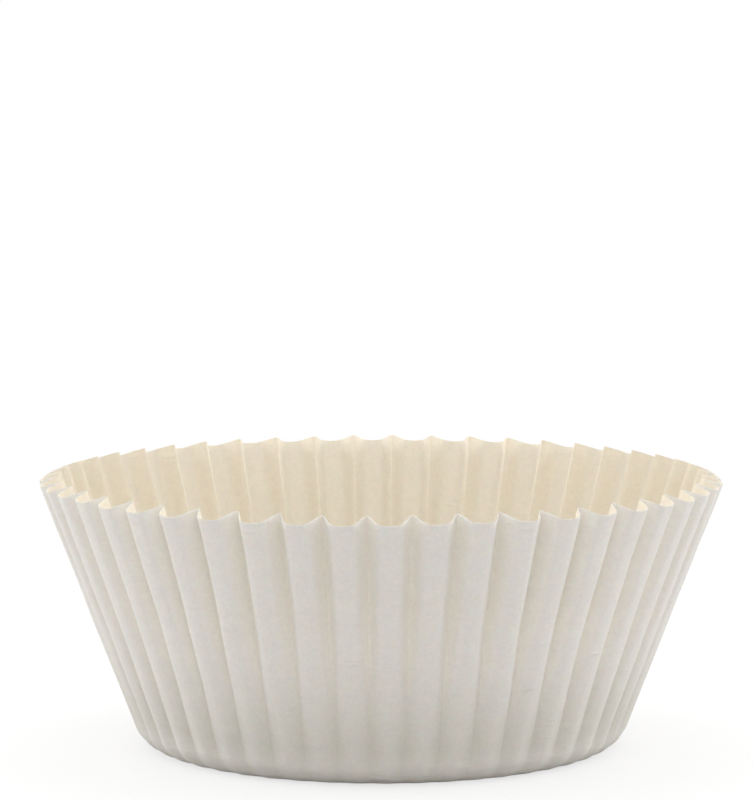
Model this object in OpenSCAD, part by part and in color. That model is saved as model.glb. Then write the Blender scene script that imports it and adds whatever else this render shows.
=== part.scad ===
// Cupcake liner: one round sheet of thin paper, pressed into a cup with a level
// base, a rounded edge and a leaning wall of even pleats.
// Millimetres, +Z up. The base stands on z = 0 and the axis is x = y = 0.

/* [Cup] */
// Width of the base, across the sharp edge that the base and the crests would make
base_d = 50; // [40:0.5:60]
// Length of a crest up the slope, from that edge to the rim
wall_len = 29.7; // [18:0.1:38]
// Lean of the crests from upright, in degrees
wall_lean = 21; // [12:0.5:30]
// Radius of the bend from the base into the wall
bend_r = 3.6; // [1:0.1:5]

/* [Pleats] */
// Number of pleats in the wall
pleats = 48; // [36:1:60]
// Fullness of the crests: 2 makes even waves, and more makes wide crests and narrow grooves
fullness = 7; // [3:0.5:10]
// How far the crests round off into the grooves, just above the bend
rounding = 0.35; // [0:0.05:0.5]
// Angle from the front (-Y) round to the middle of the first crest, in degrees
first_crest = 1.5; // [-3.5:0.5:3.5]

/* [Paper] */
// Thickness of the paper
paper_t = 0.08; // [0.06:0.01:0.2]
// Share of the spare paper that fine crimping takes up, before the rest folds into the grooves
crimping = 0.15; // [0:0.01:0.4]

/* [Hidden] */

full_turn = 360;
front = -90;
pleat_count = round(pleats);
pitch = full_turn / pleat_count;

// The bend takes up this much of the base and of the wall, measured from the sharp edge.
bend_turn = 90 - wall_lean;
bend_reach = bend_r * tan(bend_turn / 2);
bend_len = bend_r * bend_turn * PI / 180;
flat_r = base_d / 2 - bend_reach;

// The exact disc of the base ends this far inside the edge of the level part.
base_inset = 0.25;

// Rings round the cup, given as distances along a crest from the edge of the level base.
bend_rings = [0, 1/3, 2/3, 1];
wall_rings = [0.2, 0.5, 1];
ring_at = concat(
    [for (share = bend_rings) share * bend_len],
    [for (share = wall_rings) bend_len + share * (wall_len - bend_reach)]);
last_ring = len(ring_at) - 1;
crest_len = ring_at[last_ring];

// The grooves are narrow where they start, and widen between these shares of a crest's length.
first_opening = 0.3;
opens_from = 0.1;
opens_by = 0.65;

// The rounding of the crests has faded out by this much at the rim.
rounding_fade = 0.75;

// The lines that run up one pleat, from the middle of its crest to the next.
pleat_lines = 8;
groove_line = pleat_lines / 2;
lines_round = pleat_count * pleat_lines;

// A groove is as wide as the part of the pleat that lies deeper than this share of its depth.
groove_foot = 0.05;
groove_share = 1 - 2 * asin(pow(groove_foot, 1 / fullness)) / 180;

// A crest's distance from the axis and its height, a distance s along it from the level base.
function crest_r(s) =
    s < bend_len ? flat_r + bend_r * sin(bend_turn * s / bend_len) :
    base_d / 2 + (bend_reach + s - bend_len) * sin(wall_lean);
function crest_z(s) =
    s < bend_len ? bend_r * (1 - cos(bend_turn * s / bend_len)) :
    (bend_reach + s - bend_len) * cos(wall_lean);

// A groove's width there, as a share of what it is at the rim.
function opening(s) =
    let (share = max(0, min(1, (s / crest_len - opens_from) / (opens_by - opens_from))))
    first_opening + (1 - first_opening) * share * share * (3 - 2 * share);

// The flat sheet is wider than the cup that it becomes. What is spare in each pleat goes into
// the two sides of its groove, as far as the groove has opened, so the groove is as deep as
// those sides are long.
function spare_paper(s) =
    (1 - crimping) * opening(s) * 2 * PI * (flat_r + s - crest_r(s)) / pleat_count;
function groove_w(s) = groove_share * opening(s) * 2 * PI * crest_r(s) / pleat_count;
function groove_depth(s) =
    let (side = (groove_w(s) + spare_paper(s)) / 2)
    sqrt(max(0, side * side - pow(groove_w(s) / 2, 2)));

// How far the crests have rounded off at the middle of a groove.
function rounding_at(s) =
    rounding * pow(min(1, s / bend_len), 2) * (1 - rounding_fade * s / crest_len);

// Where a line of the pleat lies, as a share of the pleat, from the middle of its groove: two
// lines on each side of the groove, one on each flank of the crest and one along its middle.
function line_off(i, s) =
    let (j = abs(i % pleat_lines - groove_line), side = opening(s) / pleat_lines)
    j < 3 ? j * side : j < groove_line ? side + 1/4 : 1/2;

// How far a line of the pleat lies in from its crest.
function line_depth(i, s) =
    let (in_groove = pow(sin(180 * (i % pleat_lines) / pleat_lines), fullness))
    in_groove * groove_depth(s) + (1 - sin(180 * line_off(i, s))) * rounding_at(s);

// A line up a groove is as long as one on a crest, but leans out less. It climbs higher, less
// what crimping takes up, so the rim rises at every groove.
function crest_step(k) = norm([
    crest_r(ring_at[k]) - crest_r(ring_at[k - 1]),
    crest_z(ring_at[k]) - crest_z(ring_at[k - 1])]);
function line_r(i, k) = crest_r(ring_at[k]) - line_depth(i, ring_at[k]);
function climb(i, k) = k == 0 ? 0 :
    let (out = line_r(i, k) - line_r(i, k - 1))
    climb(i, k - 1) + sqrt(pow(crest_step(k), 2) - out * out);
function line_z(i, k) =
    let (crest = crest_z(ring_at[k]))
    crest + (1 - crimping) * (climb(i, k) - crest);

// The angle of a line round the axis.
function line_turn(i, k) =
    let (past_groove = i % pleat_lines > groove_line ? 1 : -1,
         groove = floor(i / pleat_lines) + 1/2)
    front + first_crest + pitch * (groove + past_groove * line_off(i, ring_at[k]));

// The middle of the paper: point i of ring k, counted round from the middle of the first crest.
mid = [for (k = [0 : last_ring]) [for (i = [0 : lines_round - 1])
    let (r = line_r(i, k), turn = line_turn(i, k))
    [r * cos(turn), r * sin(turn), line_z(i, k)]]];

// The way out of the paper at a point of the sheet, longer at a fold so that both skins run
// one thickness apart on each side of the fold.
function unit(v) = v / norm(v);
function way_out(k, i) = k == 0 ? [0, 0, -1] :
    let (up = mid[min(k + 1, last_ring)][i] - mid[k - 1][i],
         before = mid[k][(i + lines_round - 1) % lines_round],
         after = mid[k][(i + 1) % lines_round],
         a = unit(cross(mid[k][i] - before, up)),
         b = unit(cross(after - mid[k][i], up)))
    (a + b) / (1 + a * b);
function skin(side) = [for (k = [0 : last_ring]) for (i = [0 : lines_round - 1])
    mid[k][i] + side * paper_t / 2 * way_out(k, i)];

// Two triangles over the four corners a, b, c and d.
function quad(a, b, c, d) = [[a, b, c], [a, c, d]];

// The level base, as one exact disc.
module base() {
    cylinder(r = flat_r - base_inset, h = paper_t, $fn = 96);
}

// The bend and the wall: an outer and an inner skin, closed across the base and joined by a
// strip along the rim.
module wall() {
    inner = (last_ring + 1) * lines_round;
    rim = last_ring * lines_round;
    base_faces = [
        [for (i = [0 : lines_round - 1]) i],
        [for (i = [0 : lines_round - 1]) inner + lines_round - 1 - i]];
    wall_faces = [for (i = [0 : lines_round - 1])
        let (next = (i + 1) % lines_round)
        for (face = concat(
            quad(rim + i, inner + rim + i, inner + rim + next, rim + next),
            [for (low = [0 : lines_round : rim - 1])
                let (high = low + lines_round)
                each concat(
                    quad(low + i, high + i, high + next, low + next),
                    quad(inner + low + i, inner + low + next,
                        inner + high + next, inner + high + i))]))
        face];
    translate([0, 0, paper_t / 2])
    polyhedron(points = concat(skin(1), skin(-1)), faces = concat(base_faces, wall_faces));
}

// The whole sheet, as one piece.
module liner() {
    color([0.93, 0.92, 0.89])
    union() {
        base();
        wall();
    }
}

liner();
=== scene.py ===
import math

import bmesh
import bpy
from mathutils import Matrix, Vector


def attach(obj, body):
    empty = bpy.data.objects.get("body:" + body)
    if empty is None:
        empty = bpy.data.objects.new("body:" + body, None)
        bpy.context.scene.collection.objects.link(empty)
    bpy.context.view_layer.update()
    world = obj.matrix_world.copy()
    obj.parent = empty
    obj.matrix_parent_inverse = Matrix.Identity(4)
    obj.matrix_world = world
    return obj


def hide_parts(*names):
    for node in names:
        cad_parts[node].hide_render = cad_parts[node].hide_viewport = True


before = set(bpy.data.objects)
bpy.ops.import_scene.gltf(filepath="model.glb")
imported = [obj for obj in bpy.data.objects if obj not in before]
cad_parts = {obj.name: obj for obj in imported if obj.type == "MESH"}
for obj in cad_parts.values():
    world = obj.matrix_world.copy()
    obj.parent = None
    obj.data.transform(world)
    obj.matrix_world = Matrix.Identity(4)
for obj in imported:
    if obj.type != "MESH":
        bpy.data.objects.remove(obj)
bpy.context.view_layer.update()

MM = 0.001
FULL_TURN = 2 * math.pi

# The cup's sizes, the same as in its construction
BASE_D = 50 * MM
WALL_LEN = 29.7 * MM
WALL_LEAN = math.radians(21)
BEND_R = 3.6 * MM
PLEATS = 48
FULLNESS = 7
FIRST_CREST = math.radians(1.5)
PAPER_T = 0.08 * MM
CRIMPING = 0.15
GROOVE_FOOT = 0.05
# The grooves are narrow where they start, and widen between these shares of a crest's length
FIRST_OPENING = 0.3
OPENS_FROM = 0.1
OPENS_BY = 0.65
# How far the crests round off towards the grooves, how much of that has gone at the rim, and
# how soft the crease between two crests is, from 1 for a sharp one to 2 for an even wave
ROUNDING = 0.35 * MM
ROUNDING_FADE = 0.75
SOFTNESS = 1.5

# Lines up each pleat, rings round the bend and the wall, and rings in the base
PLEAT_LINES = 20
BEND_RINGS = 9
WALL_RINGS = 31
BASE_RINGS = (0.75, 0.5, 0.25)

PITCH = FULL_TURN / PLEATS
GROOVE_SHARE = 1 - 2 * math.asin(GROOVE_FOOT ** (1 / FULLNESS)) / math.pi
FRONT = -math.pi / 2
BEND_TURN = math.pi / 2 - WALL_LEAN
BEND_REACH = BEND_R * math.tan(BEND_TURN / 2)
BEND_LEN = BEND_R * BEND_TURN
FLAT_R = BASE_D / 2 - BEND_REACH
CREST_LEN = BEND_LEN + WALL_LEN - BEND_REACH
LINE_PITCH = PITCH / PLEAT_LINES
# How near a point lies to the line that it is on, as an angle
ON_LINE = LINE_PITCH / 4
MERGE_DISTANCE = 0.001 * MM
SMOOTH_ANGLE = math.radians(50)

# How unevenly the paper lies: the width of the patches that shift together, and about twice
# the furthest that they shift
SWAY = (12 * MM, 0.3 * MM)
DENTS = (3.5 * MM, 0.06 * MM)
KINKS = (3 * MM, 0.12 * MM)

# The sheet's points are marked where a groove has opened, and where it hasn't yet: the marks
# place the painted warm light in the open grooves and the painted shade in the creases below
PAINTED_GROOVE_LIGHT_MARK = "open"
PAINTED_CREASE_SHADE_MARK = "shut"
# How soon the open mark, which places the painted groove light, falls off towards a crest, how
# much of it is missing in the middle of a groove, and how narrow that middle is
OPEN_SPREAD = 0.8
MIDDLE_DIP = 1 / 3
MIDDLE_NARROWNESS = 4
# How much of the shut mark, and so of the painted crease shade, is left on a crest
SHUT_ON_CREST = 0.6

# The paper's colour on each side: plain, in the open grooves, and below them. The groove colour
# is painted light, a warm tint for light bounced in the grooves (lighter outside, darker inside),
# and the colour below them is painted shade in the creases. The inside is a darker, warmer copy
# of the same paper, with painted shade, and the cut edge is darkened with painted shade
OUTSIDE = ((0.865, 0.845, 0.82), (0.9, 0.87, 0.805), (0.71, 0.69, 0.63))
SHADED_INSIDE = ((0.8, 0.75, 0.65), (0.79, 0.725, 0.605), (0.77, 0.71, 0.6))
# The cut edge is the same paper, darkened with painted shade so that the light on it shows less
SHADED_CUT_EDGE = ((0.62, 0.6, 0.565),) * 3

# The patterns in the paper: waves per metre and levels of detail
CLOUDS = (1000, 4)
FIBRES = (2600, 3)
WRINKLES = (130, 3)
CRINKLES = (350, 2)
PATTERN_ROUGHNESS = 0.65
# Wrinkles and crinkles run level, so their patterns are squeezed in height
SQUEEZE = (1, 1, 5)
# The range that a pattern mostly keeps to, and what it becomes in the paper's tones
PATTERN_RANGE = (0.3, 0.7)
CLOUD_TONES = (0.98, 1.02)
FIBRE_TONES = (0.97, 1.03)
PAPER_ROUGHNESS = (0.7, 0.82)
# The crinkles grow from none to all where the wrinkles go through this range
CRINKLED = (0.55, 0.7)
# How high each pattern stands, and how strongly its slopes show
WRINKLE_RELIEF = (0.2 * MM, 0.5)
CRINKLE_HEIGHT = 0.15 * MM
CLOUD_RELIEF = (0.03 * MM, 0.3)
FIBRE_RELIEF = (0.006 * MM, 0.25)

PAPER_SHEEN = 0.3
# How much of the light soaks into the paper, how far it spreads there, and how much of that
# way each colour goes
SOAK_SHARE = 0.6
SOAK_REACH = 0.05 * MM
SOAK_COLOURS = (1.0, 0.95, 0.9)

WHITE = (1, 1, 1, 1)
ROOM_LIGHT = 0.82
# Each lamp's place, its width, and the brightness of its face
LAMPS = {
    "left_light": ((-1.05, 0.28, 0.25), 0.8, 2.8),
    "right_light": ((1.05, 0.28, 0.25), 0.8, 2.8),
    "top_light": ((0, 0.25, 1.1), 1.3, 0.7),
    "front_light": ((0, -1.2, 0.35), 1.2, 0.75),
}

# The floor: the colour that it throws on the cup, the one that the cup's shadow is seen on, and
# the glow that makes up the rest of its white
FLOOR_COLOUR = (0.42, 0.405, 0.375, 1)
FLOOR_SHADE = (0.3, 0.3, 0.3, 1)
FLOOR_GLOW = 0.68
# The shadow on the floor fades out between these distances from the axis
SHADOW_REACH = (0.06, 0.2)
FLOOR_R = 1.2
FLOOR_SIDES = 96
# The floor lies a hair below the base, so that the two never share a plane
FLOOR_DROP = 0.02 * MM

# The camera's lens in millimetres, its place, how far it looks down in radians, and how near
# a thing can be for it to see
CAMERA_LENS = 194.96
CAMERA_PLACE = (-0.46 * MM, -450 * MM, 84.864 * MM)
CAMERA_DIP = 0.10778
CAMERA_NEAREST = 0.01


# In what follows, along is a distance up a crest, from the edge of the level base


def crest_radius(along):
    """A crest's distance from the axis there."""
    if along < BEND_LEN:
        return FLAT_R + BEND_R * math.sin(along / BEND_R)
    return BASE_D / 2 + (BEND_REACH + along - BEND_LEN) * math.sin(WALL_LEAN)


def crest_height(along):
    """A crest's height there."""
    if along < BEND_LEN:
        return BEND_R * (1 - math.cos(along / BEND_R))
    return (BEND_REACH + along - BEND_LEN) * math.cos(WALL_LEAN)


def opened(along):
    """How far the grooves have opened there, from 0 to 1."""
    share = min(1, max(0, (along / CREST_LEN - OPENS_FROM) / (OPENS_BY - OPENS_FROM)))
    return share * share * (3 - 2 * share)


def opening(along):
    """How wide a groove is there, as a share of its width at the rim."""
    return FIRST_OPENING + (1 - FIRST_OPENING) * opened(along)


def groove_depth(along):
    """How deep a groove is there, with the flat sheet's spare paper in its two sides."""
    width = GROOVE_SHARE * opening(along) * PITCH * crest_radius(along)
    spare = (1 - CRIMPING) * opened(along) * PITCH * (FLAT_R + along - crest_radius(along))
    side = (width + spare) / 2
    return math.sqrt(max(0, side * side - width * width / 4))


def in_groove(off_groove, along):
    """How deep in the groove a line is, so far round from its middle: 1 there, 0 on a crest."""
    return max(0, math.cos(PLEATS * off_groove / 2)) ** (FULLNESS / opening(along) ** 2)


def off_crest(off_groove):
    """How far off a crest a line is, from 0 along its middle to 1 along the groove's."""
    return 1 - abs(math.sin(PLEATS * off_groove / 2)) ** SOFTNESS


def rounding(along):
    """How far the crests have rounded off there, at the middle of a groove."""
    return ROUNDING * min(1, along / BEND_LEN) ** 2 * (1 - ROUNDING_FADE * along / CREST_LEN)


def line_radius(off_groove, along):
    """The distance of a line of the pleat from the axis."""
    groove = in_groove(off_groove, along) * groove_depth(along)
    return crest_radius(along) - groove - off_crest(off_groove) * rounding(along)


def deselect_all():
    """Leaves no object selected or active."""
    bpy.ops.object.select_all(action="DESELECT")
    bpy.context.view_layer.objects.active = None


def select_points(piece, wanted, among=None):
    """Selects the points whose place answers the question, out of those numbered, in edit mode."""
    bpy.ops.mesh.select_all(action="DESELECT")
    mesh = bmesh.from_edit_mesh(piece.data)
    mesh.verts.ensure_lookup_table()
    points = mesh.verts if among is None else [mesh.verts[number] for number in among]
    for point in points:
        point.select = wanted(point.co)
    mesh.select_flush_mode()
    bmesh.update_edit_mesh(piece.data)


def selected_points(piece):
    """The numbers of the points that are selected in edit mode."""
    return [point.index for point in bmesh.from_edit_mesh(piece.data).verts if point.select]


def turn_of(place):
    """The angle of a place round the axis, from +X."""
    return math.atan2(place.y, place.x)


def scale_from_axis(factor):
    """Moves what is selected towards or away from the axis."""
    bpy.ops.transform.resize(value=(factor, factor, 1), center_override=(0, 0, 0))


def edge_of_base():
    """The edge of the level base over one pleat, centred on +X, left open in edit mode."""
    deselect_all()
    bpy.ops.mesh.primitive_circle_add(
        vertices=PLEATS * PLEAT_LINES, radius=FLAT_R, fill_type="NOTHING", enter_editmode=True)
    piece = bpy.context.active_object
    bpy.ops.mesh.select_mode(type="VERT")
    half_pleat = PITCH / 2 + ON_LINE
    select_points(piece, lambda place: abs(turn_of(place)) > half_pleat)
    bpy.ops.mesh.delete(type="VERT")
    return piece


def draw_base():
    """Draws the level base over one pleat, in from its edge to the axis."""
    bpy.ops.mesh.select_all(action="SELECT")
    last = 1
    for share in BASE_RINGS:
        bpy.ops.mesh.extrude_region_move()
        scale_from_axis(share / last)
        last = share
    bpy.ops.mesh.extrude_region_move()
    scale_from_axis(0)
    bpy.ops.mesh.merge(type="CENTER")


def draw_wall(piece):
    """Draws the bend and the wall over one pleat, up from the base's edge ring by ring."""
    bend = [BEND_LEN * (k + 1) / BEND_RINGS for k in range(BEND_RINGS)]
    wall = [BEND_LEN + (CREST_LEN - BEND_LEN) * (k + 1) / WALL_RINGS for k in range(WALL_RINGS)]
    select_points(piece, lambda place: place.length > FLAT_R - MERGE_DISTANCE)
    last = 0
    for along in bend + wall:
        bpy.ops.mesh.extrude_region_move()
        ring = selected_points(piece)
        climb = crest_height(along) - crest_height(last)
        step = math.hypot(crest_radius(along) - crest_radius(last), climb)
        for line in range(PLEAT_LINES // 2 + 1):
            off = line * LINE_PITCH
            out = line_radius(off, along) - line_radius(off, last)
            # Each line keeps its length on the way up, apart from what crimping takes up
            rise = climb + (1 - CRIMPING) * (math.sqrt(max(0, step * step - out * out)) - climb)
            select_points(piece, lambda place: abs(abs(turn_of(place)) - off) < ON_LINE, ring)
            scale_from_axis(line_radius(off, along) / line_radius(off, last))
            bpy.ops.transform.translate(value=(0, 0, rise))
        select_points(piece, lambda place: True, ring)
        last = along


def copy_pleats_round():
    """Copies the pleat round the axis, and joins the copies into one sheet."""
    bpy.ops.mesh.select_all(action="SELECT")
    bpy.ops.mesh.spin(
        steps=PLEATS - 1, dupli=True, angle=PITCH * (PLEATS - 1), center=(0, 0, 0), axis=(0, 0, 1))
    bpy.ops.mesh.select_all(action="SELECT")
    bpy.ops.mesh.remove_doubles(threshold=MERGE_DISTANCE)
    bpy.ops.mesh.normals_make_consistent(inside=False)


def turn_to_front(piece):
    """Turns the first crest to its place beside the front, and lifts the sheet half its thickness."""
    bpy.ops.object.mode_set(mode="OBJECT")
    piece.rotation_euler.z = FRONT + FIRST_CREST + PITCH / 2
    piece.location.z = PAPER_T / 2
    bpy.ops.object.transform_apply(location=True, rotation=True, scale=False)


def up_the_wall(place):
    """How far up the wall a place is, from 0 at the base to 1 at the rim."""
    return min(1, max(0, place.z / crest_height(CREST_LEN)))


def off_groove_at(place):
    """The angle of a place round the axis, from the middle of its nearest groove."""
    return ((turn_of(place) - FRONT - FIRST_CREST) / PITCH % 1 - 0.5) * PITCH


def in_open_groove(place):
    """How far a place is in an open groove: 0 on a crest, and most a little off the middle."""
    along = up_the_wall(place) * CREST_LEN
    inside = in_groove(off_groove_at(place), along)
    return opened(along) * inside ** OPEN_SPREAD * (1 - MIDDLE_DIP * inside ** MIDDLE_NARROWNESS)


def below_groove(place):
    """How much painted shade a place gets under the open grooves, more so between two crests, from 0
    to 1.
    """
    along = up_the_wall(place) * CREST_LEN
    between = SHUT_ON_CREST + (1 - SHUT_ON_CREST) * off_crest(off_groove_at(place))
    return (1 - opened(along)) ** 2 * min(1, along / BEND_LEN) * between


def free_to_sway(place):
    """How freely the wall can sway there: 0 at its foot, where the base holds it, 1 at the rim."""
    return math.sqrt(up_the_wall(place))


def kinked(place):
    """How much the paper is kinked there: most in the grooves, and not at all at foot or rim."""
    return in_open_groove(place) * max(0, math.sin(math.pi * up_the_wall(place)))


def weigh(piece, name, weight_at):
    """Makes a named group of the piece's points, with the weight that its place gives each."""
    group = piece.vertex_groups.new(name=name)
    for point in piece.data.vertices:
        group.add([point.index], weight_at(point.co), "REPLACE")


def mark(piece, name, number_at):
    """Gives each of the piece's points a number from its place, which the finishes read."""
    marks = piece.data.attributes.new(name, "FLOAT", "POINT")
    marks.data.foreach_set("value", [number_at(point.co) for point in piece.data.vertices])


def unsettle(piece, name, patches, group, direction="RGB_TO_XYZ"):
    """Shifts the paper unevenly, in patches of the width and by the amount that are given."""
    noise = bpy.data.textures.new(name, "CLOUDS")
    noise.cloud_type = "COLOR"
    noise.noise_scale, amount = patches
    noise.noise_depth = 1
    shift = piece.modifiers.new(name, "DISPLACE")
    shift.texture = noise
    shift.texture_coords = "LOCAL"
    shift.direction = direction
    shift.strength = amount
    shift.mid_level = 0.5
    shift.vertex_group = group
    bpy.ops.object.modifier_apply(modifier=shift.name)


def thicken(piece, outside, inside, edge):
    """Gives the sheet its thickness, with a finish on each side and one on the cut edge."""
    for finish in (outside, inside, edge):
        piece.data.materials.append(finish)
    thickness = piece.modifiers.new("thickness", "SOLIDIFY")
    thickness.thickness = PAPER_T
    thickness.offset = 0
    thickness.use_even_offset = True
    thickness.material_offset = 1
    thickness.material_offset_rim = 2
    bpy.ops.object.modifier_apply(modifier=thickness.name)
    bpy.ops.object.shade_smooth_by_angle(angle=SMOOTH_ANGLE)


def press_liner(outside, inside, edge):
    """The whole sheet, pressed into its cup, with its thickness and finishes."""
    piece = edge_of_base()
    draw_base()
    draw_wall(piece)
    copy_pleats_round()
    turn_to_front(piece)
    piece.name = "liner_paper"
    weigh(piece, "wall", free_to_sway)
    weigh(piece, "folds", kinked)
    # Marks for warm painted light in the open grooves and painted shade in the creases below
    mark(piece, PAINTED_GROOVE_LIGHT_MARK, in_open_groove)
    mark(piece, PAINTED_CREASE_SHADE_MARK, below_groove)
    unsettle(piece, "sway", SWAY, "wall")
    unsettle(piece, "dents", DENTS, "wall", "NORMAL")
    unsettle(piece, "kinks", KINKS, "folds")
    thicken(piece, outside, inside, edge)
    return piece


def feed(tree, value, socket):
    """Gives a socket a value, either a fixed one or one from another node."""
    if isinstance(value, bpy.types.NodeSocket):
        tree.links.new(value, socket)
    else:
        socket.default_value = value


def pattern(tree, place, scale, detail, kind="FBM"):
    """A pattern's strength at a place and its colour, as a node's Fac and Color outputs."""
    noise = tree.nodes.new("ShaderNodeTexNoise")
    noise.noise_type = kind
    noise.inputs["Scale"].default_value = scale
    noise.inputs["Detail"].default_value = detail
    noise.inputs["Roughness"].default_value = PATTERN_ROUGHNESS
    tree.links.new(place, noise.inputs["Vector"])
    return noise.outputs


def spread(tree, value, wanted, taken=PATTERN_RANGE):
    """The value, or each part of a colour, moved from the range it has to the one wanted."""
    coloured = value.type == "RGBA"
    change = tree.nodes.new("ShaderNodeMapRange")
    change.data_type = "FLOAT_VECTOR" if coloured else "FLOAT"
    for end, number in zip(("From Min", "From Max", "To Min", "To Max"), (*taken, *wanted)):
        change.inputs[end].default_value = (number, number, number) if coloured else number
    tree.links.new(value, change.inputs["Vector" if coloured else "Value"])
    return change.outputs["Vector" if coloured else "Result"]


def times(tree, value, factor):
    """A colour or a place, with each part of it multiplied by that of the factor."""
    product = tree.nodes.new("ShaderNodeVectorMath")
    product.operation = "MULTIPLY"
    tree.links.new(value, product.inputs[0])
    feed(tree, factor, product.inputs[1])
    return product.outputs["Vector"]


def raised(tree, height, distance, strength, under=None):
    """A fine relief, on top of another if one is given."""
    relief = tree.nodes.new("ShaderNodeBump")
    relief.inputs["Distance"].default_value = distance
    feed(tree, strength, relief.inputs["Strength"])
    tree.links.new(height, relief.inputs["Height"])
    if under:
        tree.links.new(under, relief.inputs["Normal"])
    return relief.outputs["Normal"]


def tinted(tree, mark_name, under, over):
    """A colour that gives way to another one where the sheet's points are marked."""
    marked = tree.nodes.new("ShaderNodeAttribute")
    marked.attribute_name = mark_name
    tint = tree.nodes.new("ShaderNodeMix")
    tint.data_type = "RGBA"
    tree.links.new(marked.outputs["Fac"], tint.inputs["Factor"])
    feed(tree, under, tint.inputs["A"])
    feed(tree, (*over, 1), tint.inputs["B"])
    return tint.outputs["Result"]


def paper_colour(tree, colours, clouds, fibres):
    """The paper's colours, with warm light painted into the open grooves and shade painted into the
    creases below them, faint clouds in them and a grain of fibres.
    """
    plain, painted_groove_light, painted_crease_shade = colours
    tint = tinted(tree, PAINTED_GROOVE_LIGHT_MARK, (*plain, 1), painted_groove_light)
    tint = tinted(tree, PAINTED_CREASE_SHADE_MARK, tint, painted_crease_shade)
    cloudy = times(tree, tint, spread(tree, clouds["Color"], CLOUD_TONES))
    return times(tree, cloudy, spread(tree, fibres["Fac"], FIBRE_TONES))


def paper_relief(tree, place, clouds, fibres):
    """Level wrinkles with crinkles on the highest of them, under the clouds and the fibres."""
    squeezed = times(tree, place, SQUEEZE)
    wrinkles = pattern(tree, squeezed, *WRINKLES)["Fac"]
    crinkles = pattern(tree, squeezed, *CRINKLES, "RIDGED_MULTIFRACTAL")["Fac"]
    relief = raised(tree, wrinkles, *WRINKLE_RELIEF)
    crinkled = spread(tree, wrinkles, (0, 1), CRINKLED)
    relief = raised(tree, crinkles, CRINKLE_HEIGHT, crinkled, relief)
    relief = raised(tree, clouds["Fac"], *CLOUD_RELIEF, relief)
    return raised(tree, fibres["Fac"], *FIBRE_RELIEF, relief)


def paper_finish(name, colours):
    """Thin greaseproof paper: matt, and slightly see-through, so that light spreads in it."""
    paper = bpy.data.materials.new(name)
    paper.use_nodes = True
    tree = paper.node_tree
    place = tree.nodes.new("ShaderNodeTexCoord").outputs["Object"]
    clouds = pattern(tree, place, *CLOUDS)
    fibres = pattern(tree, place, *FIBRES)
    values = {
        "Base Color": paper_colour(tree, colours, clouds, fibres),
        "Roughness": spread(tree, clouds["Fac"], PAPER_ROUGHNESS),
        "Normal": paper_relief(tree, place, clouds, fibres),
        "Specular IOR Level": PAPER_SHEEN,
        "Subsurface Weight": SOAK_SHARE,
        "Subsurface Radius": SOAK_COLOURS,
        "Subsurface Scale": SOAK_REACH,
    }
    for socket, value in values.items():
        feed(tree, value, tree.nodes["Principled BSDF"].inputs[socket])
    return paper


def soft_box(name, place, size, brightness):
    """A square studio light aimed at the cup, with the brightness of its face."""
    lamp = bpy.data.lights.new(name, "AREA")
    lamp.size = size
    lamp.energy = brightness * math.pi * size * size
    holder = bpy.data.objects.new(name, lamp)
    holder.location = place
    holder.rotation_euler = (-Vector(place)).to_track_quat("-Z", "Y").to_euler()
    holder.visible_camera = False
    bpy.context.scene.collection.objects.link(holder)


def plain_shader(tree, kind, colour, strength=None):
    """A shader of one colour and, for a light, one strength."""
    shader = tree.nodes.new(kind)
    shader.inputs["Color"].default_value = colour
    if strength is not None:
        shader.inputs["Strength"].default_value = strength
    return shader.outputs[0]


def gives_way(tree, share, first, second):
    """A shader that gives way to a second one by a share."""
    mix = tree.nodes.new("ShaderNodeMixShader")
    for number, value in enumerate((share, first, second)):
        tree.links.new(value, mix.inputs[number])
    return mix.outputs[0]


def seen_rays(tree):
    """One where a ray comes from the camera, a reflection or a see-through surface, and else 0."""
    path = tree.nodes.new("ShaderNodeLightPath")
    seen = path.outputs["Is Camera Ray"]
    for kind in ("Is Glossy Ray", "Is Transmission Ray"):
        either = tree.nodes.new("ShaderNodeMath")
        either.operation = "MAXIMUM"
        tree.links.new(seen, either.inputs[0])
        tree.links.new(path.outputs[kind], either.inputs[1])
        seen = either.outputs[0]
    return seen


def white_room():
    """Soft light from all round, with a white background behind the cup."""
    world = bpy.data.worlds.new("white_room")
    bpy.context.scene.world = world
    world.use_nodes = True
    tree = world.node_tree
    light = tree.nodes["Background"]
    light.inputs["Color"].default_value = WHITE
    light.inputs["Strength"].default_value = ROOM_LIGHT
    backdrop = plain_shader(tree, "ShaderNodeBackground", WHITE, 1)
    both = gives_way(tree, seen_rays(tree), light.outputs[0], backdrop)
    tree.links.new(both, tree.nodes["World Output"].inputs["Surface"])


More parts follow.
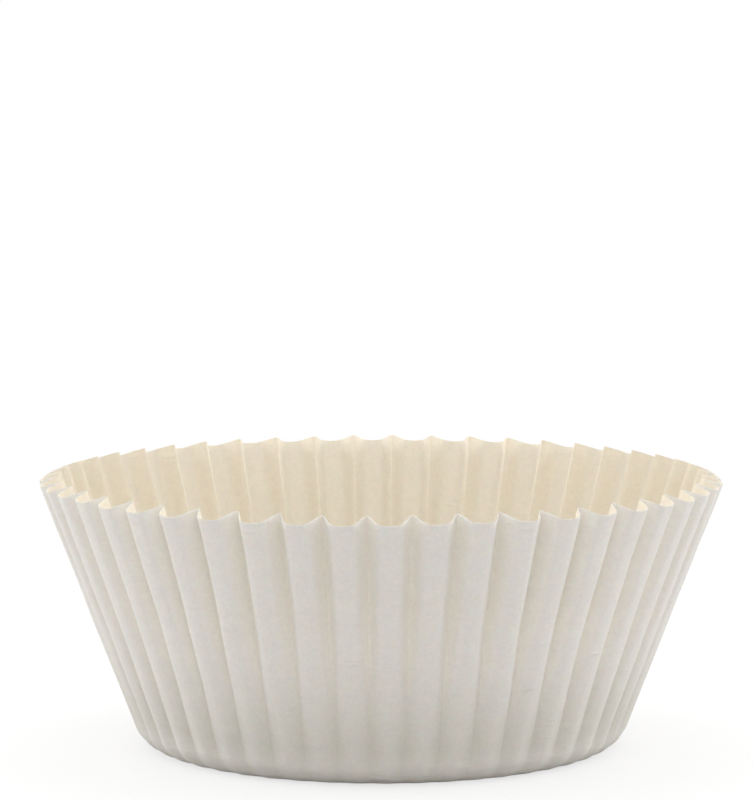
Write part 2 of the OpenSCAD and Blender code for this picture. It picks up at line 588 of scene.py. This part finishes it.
def beyond_shadow(tree):
    """How far the floor's shadow has faded out, from 0 near the cup to 1."""
    place = tree.nodes.new("ShaderNodeTexCoord")
    distance = tree.nodes.new("ShaderNodeVectorMath")
    distance.operation = "LENGTH"
    tree.links.new(place.outputs["Object"], distance.inputs[0])
    fade = tree.nodes.new("ShaderNodeMapRange")
    fade.interpolation_type = "SMOOTHSTEP"
    fade.inputs["From Min"].default_value, fade.inputs["From Max"].default_value = SHADOW_REACH
    tree.links.new(distance.outputs["Value"], fade.inputs["Value"])
    return fade.outputs["Result"]


def floor_finish():
    """Pale for the light that reaches the cup, and white with a soft shadow where it is seen."""
    material = bpy.data.materials.new("pale_floor")
    material.use_nodes = True
    tree = material.node_tree
    tree.nodes.remove(tree.nodes["Principled BSDF"])
    pale = plain_shader(tree, "ShaderNodeBsdfDiffuse", FLOOR_COLOUR)
    shaded = tree.nodes.new("ShaderNodeAddShader")
    tree.links.new(plain_shader(tree, "ShaderNodeBsdfDiffuse", FLOOR_SHADE), shaded.inputs[0])
    tree.links.new(plain_shader(tree, "ShaderNodeEmission", WHITE, FLOOR_GLOW), shaded.inputs[1])
    white = plain_shader(tree, "ShaderNodeEmission", WHITE, 1)
    seen = gives_way(tree, beyond_shadow(tree), shaded.outputs[0], white)
    both = gives_way(tree, seen_rays(tree), pale, seen)
    tree.links.new(both, tree.nodes["Material Output"].inputs["Surface"])
    return material


def white_floor():
    """The floor that the cup stands on, which isn't part of it."""
    deselect_all()
    bpy.ops.mesh.primitive_circle_add(
        vertices=FLOOR_SIDES, radius=FLOOR_R, fill_type="NGON", location=(0, 0, -FLOOR_DROP))
    floor = bpy.context.active_object
    floor.name = "floor"
    floor.data.materials.append(floor_finish())


def aim_camera():
    """The photograph's camera: in front of the cup, above its rim, and aimed slightly down."""
    camera = bpy.data.cameras.new("camera")
    camera.lens = CAMERA_LENS
    camera.clip_start = CAMERA_NEAREST
    holder = bpy.data.objects.new("camera", camera)
    holder.location = CAMERA_PLACE
    holder.rotation_euler = (math.pi / 2 - CAMERA_DIP, 0, 0)
    bpy.context.scene.collection.objects.link(holder)
    bpy.context.scene.camera = holder


# The inside and the cut edge are copies of the paper with painted shade
liner = press_liner(
    outside=paper_finish("paper_outside", OUTSIDE),
    inside=paper_finish("paper_inside_painted_shade", SHADED_INSIDE),
    edge=paper_finish("paper_edge_painted_shade", SHADED_CUT_EDGE))
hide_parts("liner")
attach(liner, "root")

white_room()
white_floor()
for name, (place, size, brightness) in LAMPS.items():
    soft_box(name, place, size, brightness)
aim_camera()
bpy.context.scene.view_settings.view_transform = "Standard"
